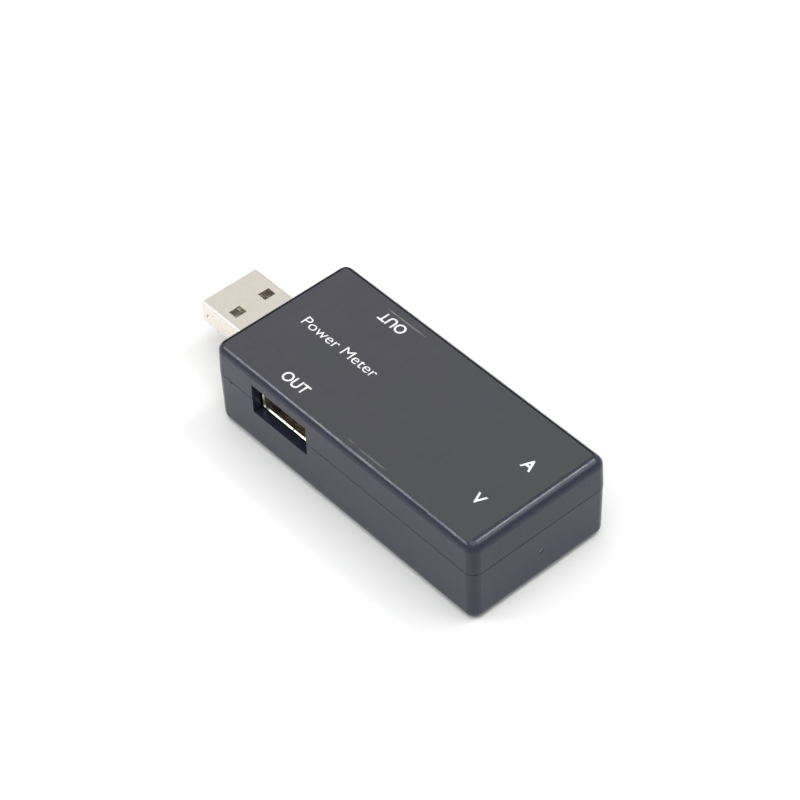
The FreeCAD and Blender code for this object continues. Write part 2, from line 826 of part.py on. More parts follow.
def make_plug_contacts():
    """Make the four flat contacts, each with a step down to its solder foot on the board."""
    low = size("plug_contact_low")
    thick = size("plug_contact_thick")
    width = size("plug_contact_width")
    board = size(BOARD_TOP)
    step = size("plug_inside + 4 * fit_gap")
    contacts = []
    for across in contact_places():
        is_power = abs(across) > size("(inner_contact + outer_contact) / 2")
        setback = "power_contact_from_tip" if is_power else "data_contact_from_tip"
        start = size(f"{setback} - plug_reach")
        foot_end = step + size("contact_foot")
        outline = [
            (start, low),
            (step, low),
            (step, board),
            (foot_end, board),
            (foot_end, board + thick),
            (step + thick, board + thick),
            (step + thick, low + thick),
            (start, low + thick),
        ]
        corners = [FreeCAD.Vector(x, across - width / 2, z) for x, z in outline]
        face = Part.Face(Part.makePolygon(corners + corners[:1]))
        contacts.append(face.extrude(FreeCAD.Vector(0, width, 0)))
    place(group("plug_contacts", contacts))


# ---------------------------------------------------------------- sockets
# Socket frame: origin at the middle of the mouth on the shell's underside, +Y inwards, +Z up.


def place_socket_piece(item, side):
    """Place a socket piece at the right (-Y) or left (+Y) side of the case."""
    is_left = side == "left"
    mouth = "socket_mouth" if is_left else "-socket_mouth"
    place(item, "socket_x", mouth, f"{BOARD_TOP} + socket_gap", half_turn=is_left)


def make_socket_shell(side):
    body = new_body(side + "_socket_shell")
    outside = new_sketch(body, side + "_shell_outside", "XZ_Plane")
    rectangle(outside, "-socket_width / 2", "0", "socket_width", "socket_height")
    pad(body, outside, "socket_depth", reverse=True)
    soften(body, "Fillet", side + "_shell_corners", along_y, "socket_corner")
    inside = new_sketch(body, side + "_shell_inside", "XZ_Plane")
    rectangle(
        inside,
        "sheet_thick - socket_width / 2",
        "sheet_thick",
        "socket_width - 2 * sheet_thick",
        "socket_height - 2 * sheet_thick",
    )
    pocket(body, inside, "socket_depth")
    inner_side = size("socket_width / 2 - sheet_thick") + NEAR
    inner_top = size("socket_height - sheet_thick") + NEAR
    inner_bottom = size("sheet_thick") - NEAR

    def is_inside(centre):
        return abs(centre.x) < inner_side and inner_bottom < centre.z < inner_top

    soften(
        body,
        "Fillet",
        side + "_shell_inner_corners",
        lambda centre, direction: along_y(centre, direction) and is_inside(centre),
        "socket_corner - sheet_thick",
    )
    soften(
        body,
        "Chamfer",
        side + "_mouth_lead_in",
        lambda centre, direction: abs(centre.y) < NEAR and is_inside(centre),
        "mouth_chamfer",
    )
    leaves = new_sketch(body, side + "_leaf_windows", "XY_Plane", "socket_height / 2")
    for sign in ("-", ""):
        rectangle(
            leaves,
            f"{sign}leaf_pitch / 2 - leaf_width / 2 - leaf_side_gap",
            "leaf_start - leaf_root_gap",
            "leaf_width + 2 * leaf_side_gap",
            "leaf_end + leaf_end_gap - leaf_start + leaf_root_gap",
        )
    pocket(body, leaves, "2 * socket_height", both_ways=True)
    seam = new_sketch(body, side + "_shell_seam", "XY_Plane", "2 * sheet_thick")
    length = "socket_depth + 2 * seam_width"
    rectangle(seam, "inner_contact - seam_width", "-seam_width", "2 * seam_width", length)
    pocket(body, seam, "4 * sheet_thick")
    for sign in (-1, 1):
        name = side + ("_leg_low_x" if sign < 0 else "_leg_high_x")
        offset = "-socket_width / 2" if sign < 0 else "socket_width / 2 - sheet_thick"
        leg = new_sketch(body, name, "YZ_Plane", offset)
        rectangle(leg, "leg_y", "-leg_drop", "leg_width", "leg_drop + socket_height / 4")
        pad(body, leg, "sheet_thick")
    place_socket_piece(body, side)


def make_socket_insulator(side):
    body = new_body(side + "_socket_insulator")
    block_outline = new_sketch(body, side + "_block", "XZ_Plane", "-(socket_depth - socket_block)")
    clearance = "sheet_thick + plug_clearance"
    rectangle(
        block_outline,
        f"{clearance} - socket_width / 2",
        clearance,
        f"socket_width - 2 * ({clearance})",
        f"socket_height - 2 * ({clearance})",
    )
    pad(body, block_outline, "socket_block", reverse=True)
    block_corner = "socket_corner - sheet_thick"
    soften(body, "Fillet", side + "_block_corners", along_y, block_corner)
    tongue = new_sketch(body, side + "_tongue", "XZ_Plane", "-tongue_setback")
    rectangle(tongue, "-tongue_width / 2", "tongue_low", "tongue_width", "tongue_high - tongue_low")
    pad(body, tongue, "socket_depth - socket_block - tongue_setback", reverse=True)
    grooves = new_sketch(body, side + "_grooves", "XZ_Plane", "-(tongue_setback + 2 * contact_thick)")
    for across in ("inner_contact", "outer_contact"):
        for sign in ("-", ""):
            edge = f"{sign}{across} - groove_width / 2"
            rectangle(grooves, edge, "tongue_low", "groove_width", "groove_depth")
    pocket(body, grooves, "socket_depth")
    place_socket_piece(body, side)


def make_socket_contacts(side):
    """Make the four sprung contact arms, bowed down out of the tongue's grooves."""
    line = [
        (size("contact_root"), size("contact_root_z")),
        (size("contact_root - 2 * contact_thick"), size("contact_root_z")),
        (size("contact_peak + contact_thick"), size("contact_peak_z + contact_thick / 8")),
        (size("contact_peak"), size("contact_peak_z")),
        (size("contact_peak - contact_thick"), size("contact_peak_z + contact_thick / 4")),
        (size("contact_tip"), size("contact_tip_z")),
    ]
    thick = size("contact_thick")
    arms = [sheet_strip(line, thick, size("contact_width"), across) for across in contact_places()]
    place_socket_piece(group(side + "_socket_contacts", arms), side)


def make_socket_tails(side):
    """Make the contacts' fixed ends, through the insulator and down through the board."""
    thick = size("contact_thick")
    level = size("contact_root_z")
    start = size("contact_root + leaf_root_gap")
    leg_front = size("tail_y")
    drop = size("-leg_drop")
    outline = [
        (start, level - thick / 2),
        (leg_front, level - thick / 2),
        (leg_front, drop),
        (leg_front + thick, drop),
        (leg_front + thick, level + thick / 2),
        (start, level + thick / 2),
    ]
    tails = [strip(outline, size("tail_width"), across) for across in contact_places()]
    place_socket_piece(group(side + "_socket_tails", tails), side)


def make_socket_springs(side, level):
    """Make a pair of retention leaves in the shell's upper or lower wall, bent inwards."""
    thick = size("sheet_thick")
    is_upper = level == "upper"
    wall_middle = size("socket_height") - thick / 2 if is_upper else thick / 2
    inwards = -1 if is_upper else 1
    line = [
        (size("leaf_start"), wall_middle),
        (size("leaf_bend"), wall_middle),
        (size("leaf_dip_y - sheet_thick"), wall_middle + inwards * (size("leaf_dip") - thick / 10)),
        (size("leaf_dip_y + sheet_thick"), wall_middle + inwards * (size("leaf_dip") - thick / 10)),
        (size("leaf_end"), wall_middle + inwards * size("leaf_end_dip")),
    ]
    across = size("leaf_pitch / 2")
    leaves = [sheet_strip(line, thick, size("leaf_width"), sign * across) for sign in CONTACT_SIDES]
    place_socket_piece(group(f"{side}_socket_{level}_springs", leaves), side)


# ---------------------------------------------------------------- displays
# Display frame: origin under the middle of the module, on the board. Digits read along +X.


def hexagon_bar(start, end, thick, low, high):
    """Make a bar with pointed ends between two points in the plane."""
    run = end - start
    length = run.Length
    ahead = run.normalize()
    aside = FreeCAD.Vector(-ahead.y, ahead.x, 0)
    offsets = [
        (0, 0),
        (thick / 2, thick / 2),
        (length - thick / 2, thick / 2),
        (length, 0),
        (length - thick / 2, -thick / 2),
        (thick / 2, -thick / 2),
    ]
    base = start + FreeCAD.Vector(0, 0, low)
    corners = [base + ahead * forward + aside * sideways for forward, sideways in offsets]
    face = Part.Face(Part.makePolygon(corners + corners[:1]))
    return face.extrude(FreeCAD.Vector(0, 0, high - low))


def digit_segments(middle):
    """Make one digit's seven slanted segments and its point."""
    lean = math.tan(math.radians(size("digit_slant")))
    high = size("display_height")
    low = high - size("segment_depth")
    gap = size("segment_gap")
    thick = size("segment_thick")
    solids = []
    for ends in SEGMENT_ENDS.values():
        points = []
        for across, up in ends:
            y = up * size("digit_height - segment_thick")
            x = middle + across * size("digit_width") + lean * y
            points.append(FreeCAD.Vector(x, y, 0))
        trim = (points[1] - points[0]).normalize() * gap
        solids.append(hexagon_bar(points[0] + trim, points[1] - trim, thick, low, high))
    dot = FreeCAD.Vector(middle + size("point_offset"), -size("digit_height - segment_thick") / 2, low)
    solids.append(Part.makeCylinder(thick / 2, high - low, dot))
    return solids


def make_display(name, y):
    """Make a display module: its reflector body, its light segments and its pins."""
    pitch = size("digit_pitch")
    segments = []
    first = -(DISPLAY_DIGITS - 1) / 2 * pitch - size("segment_thick") / 2
    for digit in range(DISPLAY_DIGITS):
        segments += digit_segments(first + digit * pitch)
    segment_group = group(name + "_display_segments", segments)
    place(segment_group, "display_x", y, BOARD_TOP)
    module = doc.addObject("Part::Box", name + "_module_block")
    for side in ("Length", "Width", "Height"):
        module.setExpression(side, bound("display_" + side.lower()))
    place(module, "display_x - display_length / 2", f"{y} - display_width / 2", BOARD_TOP)
    body = doc.addObject("Part::Cut", name + "_module_body")
    body.Base = module
    body.Tool = segment_group
    keep(body, name + "_display_body")
    half = size("display_pin / 2")
    drop = size("-display_pin_drop")
    pins = [block(x - half, x + half, v - half, v + half, drop, 0) for x, v in display_pin_places()]
    place(group(name + "_display_pins", pins), "display_x", y, BOARD_TOP)


# ---------------------------------------------------------------- board components
# These hang under the board: their own frame has its origin on the board's underside.


def hanging_block(length, width, height):
    """Make a centred block that hangs from the board."""
    return block(-length / 2, length / 2, -width / 2, width / 2, -height, 0)


def make_hanging_body(label, x, y, length, width, height, pin_mark):
    """Make a moulded chip body as a drafted pad with an optional pin-one mark."""
    body = new_body(label)
    outline = new_sketch(body, label + "_outline", "XY_Plane", "-chip_standoff")
    centred_rectangle(outline, ("0", "0"), length, width)
    pad(body, outline, height, reverse=True)
    soften(body, "Chamfer", label + "_edges", along_z, "chip_standoff")
    if pin_mark:
        mark = new_sketch(body, label + "_mark", "XY_Plane", f"-chip_standoff - {height}")
        circle(mark, f"-({length}) / 4", f"-({width}) / 3", "2 * chip_standoff")
        pocket(body, mark, "chip_standoff / 2", reverse=True)
    place(body, x, y, "board_under")


def gull_lead(side, place_along):
    """Make one gull-wing lead beside a chip body, on its low or high X side."""
    width = size("chip_lead_width")
    thick = size("chip_lead_thick")
    reach = size("chip_lead_reach")
    wall = size("chip_width / 2")
    middle = -size("chip_standoff + chip_height / 2")
    knee = wall + reach / 3
    outline = [
        (wall, middle - thick / 2),
        (knee + thick, middle - thick / 2),
        (knee + thick, -thick),
        (wall + reach, -thick),
        (wall + reach, 0),
        (knee, 0),
        (knee, middle + thick / 2),
        (wall, middle + thick / 2),
    ]
    corners = [FreeCAD.Vector(side * x, place_along - width / 2, z) for x, z in outline]
    face = Part.Face(Part.makePolygon(corners + corners[:1]))
    return face.extrude(FreeCAD.Vector(0, width, 0))


def make_chip():
    make_hanging_body("meter_chip", "chip_x", "0", "chip_width", "chip_length", "chip_height", True)
    pitch = size("chip_lead_pitch")
    middle = (CHIP_LEADS_PER_SIDE - 1) / 2
    steps = range(CHIP_LEADS_PER_SIDE)
    leads = [gull_lead(side, (step - middle) * pitch) for side in CONTACT_SIDES for step in steps]
    place(group("meter_chip_leads", leads), "chip_x", "0", "board_under")


def make_regulator():
    make_hanging_body(
        "voltage_regulator",
        "regulator_x",
        "regulator_y",
        "regulator_width",
        "regulator_length",
        "regulator_height",
        False,
    )
    thick = size("chip_standoff")
    half_body = size("regulator_width / 2")
    half_lead = size("regulator_length / 20")
    tip = -half_body - size("regulator_lead_reach")
    leads = [block(-half_body, half_body + 3 * thick, -4 * half_lead, 4 * half_lead, -thick, 0)]
    for step in (-1, 0, 1):
        middle = step * size("regulator_lead_pitch")
        leads.append(block(tip, -half_body - thick, middle - half_lead, middle + half_lead, -thick, 0))
    place(group("regulator_leads", leads), "regulator_x", "regulator_y", "board_under")


def row_places(rows):
    """List the places of chips that stand in rows across the board."""
    return [(x, first + step * PASSIVE_PITCH) for x, first, count in rows for step in range(count)]


def make_passives():
    """Make the shunts, the tank capacitor and the small chips, and one group of all end caps."""
    cap = size("end_cap")
    shunt_places = [(size("socket_x"), side * size("shunt_y")) for side in CONTACT_SIDES]
    tank_place = (size("tank_x"), size("tank_y"))
    resistor_places = row_places(RESISTOR_ROWS)
    capacitor_places = row_places(CAPACITOR_ROWS)
    chips = {
        "current_shunts": (shunt_places, "shunt_length", "shunt_width", "shunt_height"),
        "tank_capacitor": ([tank_place], "tank_length", "tank_width", "tank_height"),
        "chip_resistors": (resistor_places, "passive_length", "passive_width", "resistor_height"),
        "chip_capacitors": (capacitor_places, "passive_length", "passive_width", "capacitor_height"),
    }
    end_caps = []
    for label, (places, *sides) in chips.items():
        length, width, height = (size(text) for text in sides)
        bodies = []
        for x, y in places:
            middle = FreeCAD.Vector(x, y, 0)
            bodies.append(hanging_block(length - 2 * cap, width, height).translated(middle))
            for side in CONTACT_SIDES:
                centre = middle + FreeCAD.Vector(side * (length - cap) / 2, 0, 0)
                end_caps.append(hanging_block(cap, width, height).translated(centre))
        place(group(label, bodies), "0", "0", "board_under")
    place(group("chip_end_caps", end_caps), "0", "0", "board_under")


def solder_cone(x, y, base_radius, top_radius, half_x, half_y):
    """Make a cone of solder under the board, with the hole that its pin fills."""
    height = size("solder_height")
    down = FreeCAD.Vector(0, 0, -1)
    cone = Part.makeCone(base_radius, top_radius, height, FreeCAD.Vector(x, y, 0), down)
    return cone.cut(block(x - half_x, x + half_x, y - half_y, y + half_y, -2 * height, height))


def make_solder_joints():
    """Make a solder cone round every pin, tail and leg that comes through the board."""
    base_radius = size("solder_radius")
    top_radius = size("solder_top_radius")
    pin = size("display_pin / 2")
    tail = (size("tail_width / 2"), size("contact_thick / 2"))
    display_count = 2 * len(display_pin_places())
    joints = []
    for index, (x, y) in enumerate(drilled_places()):
        half_x, half_y = (pin, pin) if index < display_count else tail
        joints.append(solder_cone(x, y, base_radius, top_radius, half_x, half_y))
    half_x = size("sheet_thick / 2")
    half_y = size("leg_width / 2")
    for x, y in leg_places():
        joints.append(solder_cone(x, y, half_y + 2 * half_x, half_y + half_x / 2, half_x, half_y))
    place(group("solder_joints", joints), "0", "0", "board_under")


# ---------------------------------------------------------------- checks and output


def check_and_write():
    doc.recompute()
    failed = [item.Name for item in doc.Objects if {"Invalid", "Error"} & set(item.State)]
    if failed:
        raise RuntimeError("failed objects: " + ", ".join(failed))
    for item in subparts:
        if item.Shape.isNull() or not item.Shape.isValid():
            raise RuntimeError("bad shape: " + item.Label)
    os.makedirs("parts", exist_ok=True)
    for item in subparts:
        item.Shape.exportStep(os.path.join("parts", item.Label + ".step"))
        print(f"{item.Label}: {len(item.Shape.Solids)} solids, {item.Shape.Volume:.2f} mm3")


make_top_cover()
make_bottom_case()
make_front_film()
make_film_adhesive()
make_circuit_board()
make_plug_shell()
make_plug_insulator()
make_plug_contacts()
for socket_side in ("right", "left"):
    make_socket_shell(socket_side)
    make_socket_insulator(socket_side)
    make_socket_contacts(socket_side)
    make_socket_tails(socket_side)
    for spring_level in ("upper", "lower"):
        make_socket_springs(socket_side, spring_level)
make_display("volts", "-display_side")
make_display("amps", "display_side")
make_chip()
make_regulator()
make_passives()
make_solder_joints()
check_and_write()
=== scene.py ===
import json
import math

import bmesh
import bpy
from mathutils import Euler, Matrix, Vector, noise


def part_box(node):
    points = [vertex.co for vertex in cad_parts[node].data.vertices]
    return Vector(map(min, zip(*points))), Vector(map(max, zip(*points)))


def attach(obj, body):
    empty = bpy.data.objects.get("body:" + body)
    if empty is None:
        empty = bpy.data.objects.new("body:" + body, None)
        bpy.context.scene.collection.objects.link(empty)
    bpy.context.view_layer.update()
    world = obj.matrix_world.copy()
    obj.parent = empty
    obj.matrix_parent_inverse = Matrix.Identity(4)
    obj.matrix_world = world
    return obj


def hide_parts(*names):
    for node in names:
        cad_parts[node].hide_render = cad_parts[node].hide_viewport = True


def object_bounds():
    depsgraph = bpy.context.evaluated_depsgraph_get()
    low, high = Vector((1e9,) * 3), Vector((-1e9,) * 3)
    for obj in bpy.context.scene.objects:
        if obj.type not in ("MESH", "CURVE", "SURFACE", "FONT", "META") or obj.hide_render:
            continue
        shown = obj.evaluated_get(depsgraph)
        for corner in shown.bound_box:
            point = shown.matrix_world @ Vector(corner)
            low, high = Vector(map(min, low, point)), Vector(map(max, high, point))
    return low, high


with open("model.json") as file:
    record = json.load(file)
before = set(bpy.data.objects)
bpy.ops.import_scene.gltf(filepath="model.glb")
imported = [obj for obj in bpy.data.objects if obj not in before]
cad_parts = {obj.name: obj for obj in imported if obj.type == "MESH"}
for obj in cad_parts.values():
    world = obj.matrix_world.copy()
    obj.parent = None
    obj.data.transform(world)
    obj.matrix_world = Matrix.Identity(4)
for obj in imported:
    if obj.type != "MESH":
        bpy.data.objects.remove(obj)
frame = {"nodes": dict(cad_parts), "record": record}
CAD_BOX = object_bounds()

# The looks of the USB power meter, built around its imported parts. Everything is in metres.
MM = 0.001
CASE_BODY = "case"
BODIES = frame["record"]["behaviour"]["bodies"]
BODY_OF = {node: body for body, nodes in BODIES.items() for node in nodes}
WHITE = (1.0, 1.0, 1.0, 1.0)
GATE_MARK = (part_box("bottom_case")[1].x, 0.0, 6.05 * MM)  # where the base was broken off its moulding runner


# --- materials ---------------------------------------------------------------------------------------

BEVEL_SAMPLES = 6
FLAT_FACING = 0.995   # cosine between the real and the rounded normal where a surface counts as flat
EDGE_FACING = 0.85    # and where it counts as all edge

class Surface:
    """One material: a Principled shader, and short calls that put nodes behind its sockets."""

    def __init__(self, name, **sockets):
        self.material = bpy.data.materials.new(name)
        self.material.use_nodes = True
        self.tree = self.material.node_tree
        self.shader = self.tree.nodes["Principled BSDF"]
        self.place = self.node("ShaderNodeTexCoord").outputs["Object"]
        for socket, value in sockets.items():
            self.shader.inputs[socket.replace("_", " ")].default_value = value

    def node(self, kind, settings=None, **inputs):
        """Adds a node. Each input is named with _ for a space, and is a value or an output to link."""
        added = self.tree.nodes.new(kind)
        for name, value in (settings or {}).items():
            setattr(added, name, value)
        for name, value in inputs.items():
            self.feed(added.inputs[name.replace("_", " ")], value)
        return added

    def feed(self, socket, value):
        if isinstance(value, bpy.types.NodeSocket):
            self.tree.links.new(value, socket)
        else:
            socket.default_value = value

    def noise(self, size, detail=2.0, stretch=(1.0, 1.0, 1.0)):
        """Soft noise from 0 to 1, with features about `size` metres wide, longer along a stretched axis."""
        scale = tuple(1.0 / (size * s) for s in stretch)
        mapped = self.node("ShaderNodeMapping", Vector=self.place, Scale=scale)
        made = self.node("ShaderNodeTexNoise", Vector=mapped.outputs["Vector"], Scale=1.0, Detail=detail)
        return made.outputs["Fac"]

    def cells(self, size):
        """Distance to scattered points, 0 at each point, about `size` metres apart."""
        mapped = self.node("ShaderNodeMapping", Vector=self.place, Scale=(1.0 / size,) * 3)
        return self.node("ShaderNodeTexVoronoi", Vector=mapped.outputs["Vector"], Scale=1.0).outputs["Distance"]

    def height(self, axis):
        """The position along one axis, in metres."""
        return self.node("ShaderNodeSeparateXYZ", Vector=self.place).outputs[axis]

    def spot(self, middle, radius):
        """1 around a point and 0 from `radius` metres away."""
        reach = self.node("ShaderNodeVectorMath", {"operation": "DISTANCE"})
        self.feed(reach.inputs[0], self.place)
        self.feed(reach.inputs[1], middle)
        return self.spread(reach.outputs["Value"], radius * 0.5, radius, 1.0, 0.0)

    def spread(self, value, low, high, to_low, to_high):
        """Maps low..high to to_low..to_high, held at the ends."""
        made = self.node("ShaderNodeMapRange", Value=value)
        for name, number in (("From Min", low), ("From Max", high), ("To Min", to_low), ("To Max", to_high)):
            made.inputs[name].default_value = number
        return made.outputs["Result"]

    def add(self, first, second):
        made = self.node("ShaderNodeMath", {"operation": "ADD"})
        self.feed(made.inputs[0], first)
        self.feed(made.inputs[1], second)
        return made.outputs[0]

    def times(self, first, second):
        made = self.node("ShaderNodeMath", {"operation": "MULTIPLY"})
        self.feed(made.inputs[0], first)
        self.feed(made.inputs[1], second)
        return made.outputs[0]

    def mix(self, share, first, second):
        """A colour between first and second, which are colours or colour outputs."""
        made = self.node("ShaderNodeMix", {"data_type": "RGBA"})
        self.feed(made.inputs[0], share)
        for socket, colour in ((made.inputs[6], first), (made.inputs[7], second)):
            self.feed(socket, colour if isinstance(colour, bpy.types.NodeSocket) else (*colour, 1.0))
        return made.outputs[2]

    def edges(self, radius):
        """0 on flat stretches and 1 on edges, for wear and polish."""
        rounded = self.node("ShaderNodeBevel", {"samples": BEVEL_SAMPLES}, Radius=radius)
        facing = self.node("ShaderNodeNewGeometry").outputs["Normal"]
        dot = self.node("ShaderNodeVectorMath", {"operation": "DOT_PRODUCT"})
        self.feed(dot.inputs[0], rounded.outputs["Normal"])
        self.feed(dot.inputs[1], facing)
        return self.spread(dot.outputs["Value"], FLAT_FACING, EDGE_FACING, 0.0, 1.0)

    def bump(self, height, depth, under=None):
        """Relief of `depth` metres from a height of 0 to 1, on top of the relief `under` if there is one."""
        made = self.node("ShaderNodeBump", Height=height, Strength=1.0, Distance=depth)
        if under is not None:
            self.feed(made.inputs["Normal"], under)
        return made.outputs["Normal"]

    def colour(self, value):
        self.feed(self.shader.inputs["Base Color"], value)

    def roughness(self, value):
        self.feed(self.shader.inputs["Roughness"], value)

    def relief(self, value):
        self.feed(self.shader.inputs["Normal"], value)


def case_plastic():
    """Black ABS from a polished mould: a satin sheen, faint flow waves, rubbed edges and a torn gate mark."""
    s = Surface("case_plastic", IOR=1.395)
    edges = s.edges(0.3 * MM)
    rubbed = s.times(edges, s.spread(s.noise(0.9 * MM, 4.0), 0.42, 0.62, 0.0, 1.0))
    torn = s.times(s.spot(GATE_MARK, 0.55 * MM), s.spread(s.noise(0.2 * MM, 3.0), 0.4, 0.6, 0.2, 1.0))
    tone = s.mix(s.noise(9 * MM, 3.0), (0.0165, 0.0175, 0.0340), (0.0205, 0.0215, 0.0410))
    worn = s.mix(s.times(rubbed, 0.3), tone, (0.055, 0.055, 0.066))
    s.colour(s.mix(torn, worn, (0.23, 0.23, 0.24)))
    satin = s.spread(s.noise(2.2 * MM, 5.0), 0.3, 0.7, 0.19, 0.27)
    s.roughness(s.add(satin, s.times(s.add(rubbed, torn), 0.08)))
    rounded = s.node("ShaderNodeBevel", {"samples": BEVEL_SAMPLES}, Radius=0.06 * MM).outputs["Normal"]
    waves = s.bump(s.noise(3.0 * MM, 2.0), 0.006 * MM, rounded)
    burr = s.bump(s.times(edges, s.noise(0.22 * MM, 4.0)), 0.018 * MM, waves)
    s.relief(s.bump(s.noise(0.14 * MM, 3.0), 0.0009 * MM, burr))
    return s.material


def smoked_film():
    """Smoke-tinted polycarbonate overlay, printed black behind, with a glossy face, faint handling haze,
    painted highlight streaks along its ridges and a painted reflection tint towards the front.
    """
    s = Surface("smoked_film", IOR=1.57, Coat_Weight=0.25, Coat_Roughness=0.05)
    low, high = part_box("front_film")
    # The tint drifts from bluish at the rear to greenish towards the front. Along the length this is a painted
    # reflection tint; the noise adds random tone on top.
    painted_reflection_share = s.spread(s.height("X"), low.x, high.x, 0.0, 0.65)
    drift = s.add(painted_reflection_share, s.spread(s.noise(12 * MM, 4.0), 0.3, 0.7, -0.1, 0.35))
    tint = s.mix(s.spread(drift, 0.1, 0.9, 0.0, 1.0), (0.0215, 0.0195, 0.0330), (0.0205, 0.0255, 0.0225))
    wiped = s.noise(2.5 * MM, 6.0, (0.5, 2.5, 1.0))
    smeared = s.mix(s.spread(wiped, 0.35, 0.75, 0.0, 1.0), tint, (0.0240, 0.0250, 0.0300))
    # Pale streaks along the ridges that run along X are painted highlight: the bright lines that the lamps
    # leave on those ridges, put into the film's colour.
    painted_highlight_streaks = 0.0
    for axis, place, start, end, strength in FILM_RIDGES:
        if axis == "x":
            near = s.node("ShaderNodeMath", {"operation": "COMPARE"})
            s.feed(near.inputs[0], s.height("Y"))
            near.inputs[1].default_value = place * MM
            near.inputs[2].default_value = PAINTED_STREAK_REACH
            first = CASE_REAR + start * MM
            last = CASE_REAR + end * MM
            fade = s.times(
                s.spread(s.height("X"), first, first + PAINTED_STREAK_FADE, 0.0, strength),
                s.spread(s.height("X"), last - PAINTED_STREAK_FADE, last, 1.0, 0.0))
            painted_highlight_streaks = s.add(painted_highlight_streaks, s.times(near.outputs[0], fade))
    broken_painted_highlights = s.times(painted_highlight_streaks, s.spread(s.noise(0.5 * MM, 4.0, (3.0, 1.0, 1.0)), 0.3, 0.55, 0.3, 1.0))
    # Lightens the film towards pale grey along the streaks: painted highlight.
    s.colour(s.mix(broken_painted_highlights, smeared, (0.115, 0.117, 0.112)))
    haze = s.spread(s.noise(6 * MM, 6.0, (1.6, 0.7, 1.0)), 0.35, 0.7, 0.11, 0.19)
    s.roughness(haze)
    s.relief(s.bump(s.noise(0.5 * MM, 3.0), 0.0007 * MM, s.bump(s.noise(7 * MM, 1.0), 0.01 * MM)))
    return s.material


def white_ink():
    """Screen-printed white, slightly uneven in thickness."""
    s = Surface("white_ink", IOR=1.5)
    s.colour(s.mix(s.noise(0.35 * MM, 4.0), (0.68, 0.68, 0.71), (0.79, 0.79, 0.81)))
    s.roughness(s.spread(s.noise(0.2 * MM, 3.0), 0.3, 0.7, 0.42, 0.62))
    s.relief(s.bump(s.noise(0.12 * MM, 3.0), 0.0015 * MM))
    return s.material


def nickel_shell():
    """Nickel-plated steel sheet, with rolling marks along the plug and a few handling scuffs."""
    s = Surface("nickel_shell", Metallic=1.0)
    rubbed = s.edges(0.12 * MM)
    warm = s.mix(s.noise(4 * MM, 3.0), (0.79, 0.73, 0.645), (0.83, 0.77, 0.685))
    s.colour(s.mix(rubbed, warm, (0.90, 0.85, 0.76)))
    rolled = s.noise(0.07 * MM, 3.0, (30.0, 1.0, 1.0))
    cloudy = s.noise(1.5 * MM, 4.0)
    s.roughness(s.add(s.spread(rolled, 0.3, 0.7, 0.0, 0.06), s.spread(cloudy, 0.3, 0.7, 0.23, 0.27)))
    s.relief(s.bump(rolled, 0.0009 * MM, s.bump(cloudy, 0.0015 * MM)))
    return s.material


def stamped_contact(name, plated, wiped_bare):
    """A stamped contact in two colours: its plating, and what shows where it has been wiped thin."""
    s = Surface(name, Metallic=1.0)
    wiped = s.spread(s.noise(0.5 * MM, 4.0, (3.0, 1.0, 1.0)), 0.42, 0.62, 0.0, 1.0)
    s.colour(s.mix(wiped, plated, wiped_bare))
    s.roughness(s.spread(s.noise(0.25 * MM, 3.0), 0.3, 0.7, 0.2, 0.34))
    s.relief(s.bump(s.noise(0.05 * MM, 2.0, (12.0, 1.0, 1.0)), 0.0006 * MM))
    return s.material


def gold_contact():
    """Socket contacts: gold flash over nickel."""
    return stamped_contact("gold_contact", (0.83, 0.58, 0.22), (0.88, 0.74, 0.46))


def worn_contact():
    """Plug contacts: the gold flash is worn nearly through to the nickel."""
    return stamped_contact("worn_contact", (0.50, 0.47, 0.38), (0.68, 0.67, 0.61))


def black_insulator():
    """Glass-filled black nylon, with a dull moulded skin."""
    s = Surface("black_insulator", IOR=1.5)
    s.colour(s.mix(s.noise(1.2 * MM, 4.0), (0.016, 0.016, 0.015), (0.034, 0.033, 0.028)))
    s.roughness(s.spread(s.noise(0.4 * MM, 4.0), 0.3, 0.7, 0.42, 0.6))
    s.relief(s.bump(s.noise(0.09 * MM, 4.0), 0.003 * MM))
    return s.material


def pale_insulator():
    """Natural glass-filled nylon: off-white, faintly waxy, with grey handling dust."""
    s = Surface("pale_insulator", IOR=1.5, Subsurface_Weight=0.1)
    s.shader.inputs["Subsurface Radius"].default_value = (0.4 * MM, 0.35 * MM, 0.25 * MM)
    s.colour(s.mix(s.noise(0.8 * MM, 4.0), (0.42, 0.41, 0.34), (0.56, 0.55, 0.47)))
    s.roughness(s.spread(s.noise(0.4 * MM, 4.0), 0.3, 0.7, 0.4, 0.58))
    s.relief(s.bump(s.noise(0.09 * MM, 4.0), 0.003 * MM))
    return s.material


def board():
    """Green solder mask over copper, with the laminate's weave just showing."""
    s = Surface("board", IOR=1.5, Coat_Weight=0.3, Coat_Roughness=0.2)
    weave = s.add(s.noise(0.25 * MM, 2.0, (4.0, 1.0, 1.0)), s.noise(0.25 * MM, 2.0, (1.0, 4.0, 1.0)))
    s.colour(s.mix(s.spread(weave, 0.8, 1.2, 0.0, 1.0), (0.008, 0.075, 0.028), (0.014, 0.125, 0.045)))
    s.roughness(s.spread(s.noise(2 * MM, 4.0), 0.3, 0.7, 0.28, 0.42))
    s.relief(s.bump(weave, 0.002 * MM))
    return s.material


def tinned_metal():
    """Bright tin plate with a soft grain, dulled in patches."""
    s = Surface("tinned_metal", Metallic=1.0)
    dull = s.noise(0.6 * MM, 4.0)
    s.colour(s.mix(dull, (0.62, 0.62, 0.60), (0.80, 0.80, 0.78)))
    s.roughness(s.spread(dull, 0.3, 0.7, 0.26, 0.44))
    s.relief(s.bump(s.noise(0.06 * MM, 3.0), 0.001 * MM))
    return s.material


